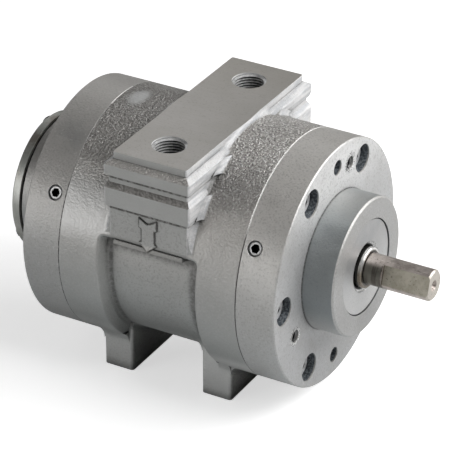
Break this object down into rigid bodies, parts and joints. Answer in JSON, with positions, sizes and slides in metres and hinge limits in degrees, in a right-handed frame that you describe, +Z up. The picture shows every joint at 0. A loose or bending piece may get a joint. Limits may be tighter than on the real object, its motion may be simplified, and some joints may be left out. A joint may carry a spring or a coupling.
{
  "type": "rotary vane air motor",
  "caption": "Foot-mounted reversible rotary vane air motor with a round cast body, a port block with two tapped ports and an output shaft with a flat.",
  "frame": {"origin": "centre of the foot bolt holes, on the plane that the feet stand on", "axes": "+X along the output shaft towards its free end, +Z up, +Y across the feet"},
  "size_m": [0.2655, 0.1524, 0.164],
  "materials": {
    "silver_casting": "silver paint over a sand-cast skin",
    "cap_metal": "turned, dull",
    "screw_steel": "satin",
    "pin_steel": "ground",
    "plug_steel": "dull",
    "seal_steel": "bright",
    "seal_rubber": "matt",
    "shaft_steel": "ground steel, slightly tarnished",
    "rotor_iron": "ground",
    "vane_composite": "laminate",
    "bearing_steel": "polished",
    "cage_steel": "pressed",
    "gasket_black": "matt"
  },
  "bodies": {
    "housing": {"body_casting": "silver_casting", "drive_end_plate": "silver_casting", "dead_end_plate": "silver_casting", "drive_plate_screws": "screw_steel", "dead_plate_screws": "screw_steel", "dowel_pins": "pin_steel", "drive_plate_plug": "plug_steel", "dead_plate_plug": "plug_steel", "seal_retainer": "silver_casting", "shaft_seal_case": "seal_steel", "shaft_seal_lip": "seal_rubber", "drive_bearing_outer_race": "bearing_steel", "dead_bearing_outer_race": "bearing_steel", "bearing_spring_washer": "seal_steel", "rear_end_cap": "cap_metal", "rear_cap_gasket": "gasket_black", "rear_cap_screws": "screw_steel"},
    "rotor_assembly": {"output_shaft": "shaft_steel", "rotor": "rotor_iron", "drive_bearing_inner_race": "bearing_steel", "dead_bearing_inner_race": "bearing_steel"},
    "vane_1": {"vane_1": "vane_composite"},
    "vane_2": {"vane_2": "vane_composite"},
    "vane_3": {"vane_3": "vane_composite"},
    "vane_4": {"vane_4": "vane_composite"},
    "drive_cage": {"drive_bearing_cage": "cage_steel", "drive_bearing_balls": "bearing_steel"},
    "dead_cage": {"dead_bearing_cage": "cage_steel", "dead_bearing_balls": "bearing_steel"}
  },
  "joints": [
    {"name": "rotor_spin", "type": "hinge", "parent": "housing", "child": "rotor_assembly", "pos_m": [0, 0, 0.0889], "axis": [1, 0, 0], "continuous": true},
    {"name": "vane_1_slide", "type": "slide", "parent": "rotor_assembly", "child": "vane_1", "axis": [0, -0.7071, 0.7071], "range_m": [-0.0018, 0.0005]},
    {"name": "vane_2_slide", "type": "slide", "parent": "rotor_assembly", "child": "vane_2", "axis": [0, -0.7071, -0.7071], "range_m": [-0.0018, 0.0005]},
    {"name": "vane_3_slide", "type": "slide", "parent": "rotor_assembly", "child": "vane_3", "axis": [0, 0.7071, -0.7071], "range_m": [-0.0018, 0.0005]},
    {"name": "vane_4_slide", "type": "slide", "parent": "rotor_assembly", "child": "vane_4", "axis": [0, 0.7071, 0.7071], "range_m": [-0.0018, 0.0005]},
    {"name": "drive_cage_spin", "type": "hinge", "parent": "housing", "child": "drive_cage", "pos_m": [0, 0, 0.0889], "axis": [1, 0, 0], "continuous": true},
    {"name": "dead_cage_spin", "type": "hinge", "parent": "housing", "child": "dead_cage", "pos_m": [0, 0, 0.0889], "axis": [1, 0, 0], "continuous": true}
  ],
  "couplings": [
    {"joint": "drive_cage_spin", "follows": "rotor_spin", "ratio": 0.4},
    {"joint": "dead_cage_spin", "follows": "rotor_spin", "ratio": 0.4}
  ]
}
